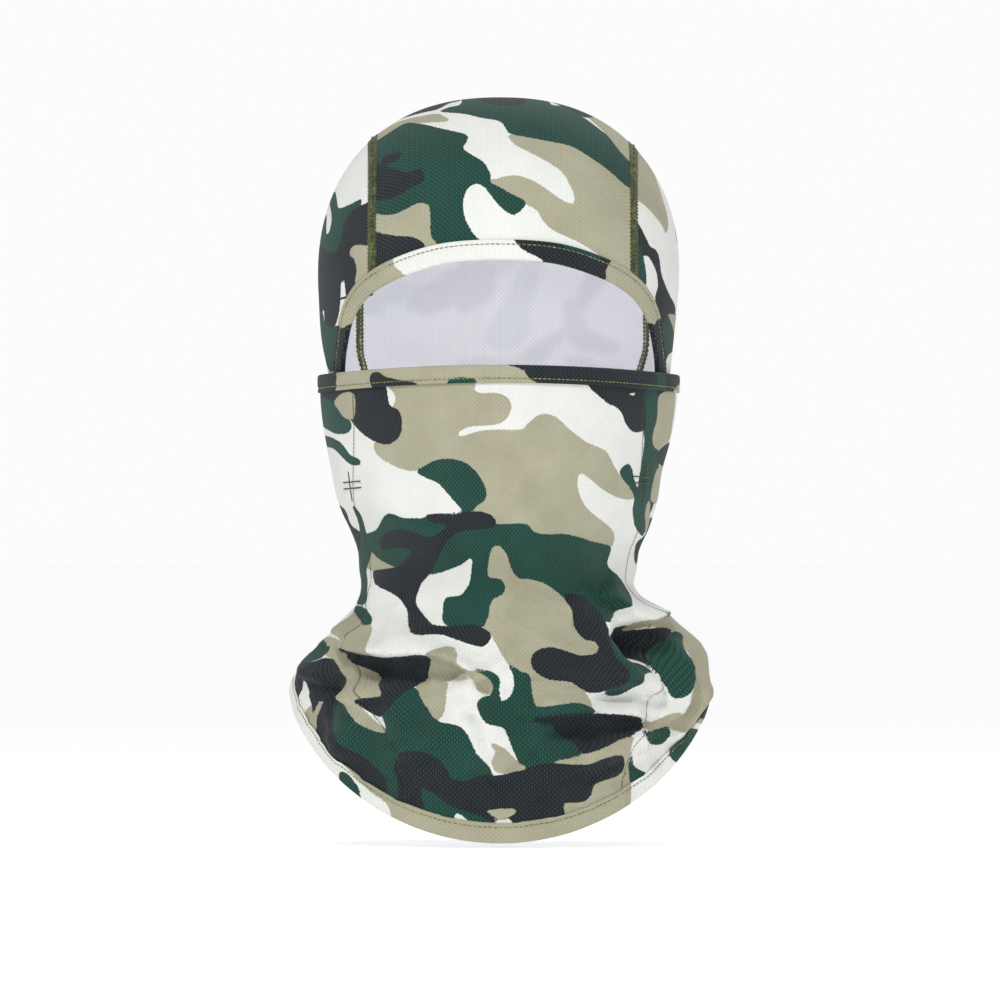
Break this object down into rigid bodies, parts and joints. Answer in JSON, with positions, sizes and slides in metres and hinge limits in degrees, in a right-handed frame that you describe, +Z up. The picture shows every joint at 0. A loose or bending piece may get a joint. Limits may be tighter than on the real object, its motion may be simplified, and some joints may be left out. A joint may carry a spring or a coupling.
{
  "type": "balaclava face mask",
  "caption": "Stretch balaclava: three-panel hood with an eye opening, and a flared neck tube whose elastic top edge covers the nose and pulls down.",
  "frame": {"origin": "centre of the wearer's head inside the hood, level with the lower part of the eye opening", "axes": "+Z up towards the crown, -Y the way the wearer looks, +X to the right in a front view"},
  "size_m": [0.1822, 0.2025, 0.3191],
  "materials": {
    "camo_knit": "birdseye polyester knit, printed with a woodland camouflage, matt with a slight sheen",
    "camo_hem": "the same knit folded double and pressed",
    "elastic": "narrow woven elastic tape",
    "olive_thread": "twisted polyester thread"
  },
  "bodies": {
    "hood_and_neck": {"crown_panel": "camo_knit", "hood_side_left": "camo_knit", "hood_side_right": "camo_knit", "face_panel": "camo_knit", "neck_back": "camo_knit", "cheek_left": "camo_knit", "cheek_right": "camo_knit", "brow_hem": "camo_hem", "bottom_hem": "camo_hem", "brow_elastic": "elastic", "brow_topstitch": "olive_thread", "crown_seam_left": "olive_thread", "crown_seam_inside_left": "olive_thread", "crown_seam_right": "olive_thread", "crown_seam_inside_right": "olive_thread", "front_seam_left": "olive_thread", "back_seam_left": "olive_thread", "front_seam_right": "olive_thread", "back_seam_right": "olive_thread", "nape_seam": "olive_thread", "ear_seam_left": "olive_thread", "ear_seam_right": "olive_thread", "side_tack_left": "olive_thread", "side_tack_right": "olive_thread", "bottom_topstitch": "olive_thread"},
    "face_cover": {"face_hem": "camo_hem", "face_elastic": "elastic", "face_topstitch": "olive_thread"}
  },
  "joints": [
    {"name": "face_cover_pull_down", "type": "hinge", "parent": "hood_and_neck", "child": "face_cover", "pos_m": [0, 0.02, -0.02175], "axis": [1, 0, 0], "range_deg": [0, 34], "deforming": ["face_panel", "cheek_left", "cheek_right", "front_seam_left", "front_seam_right", "side_tack_left", "side_tack_right"]}
  ]
}
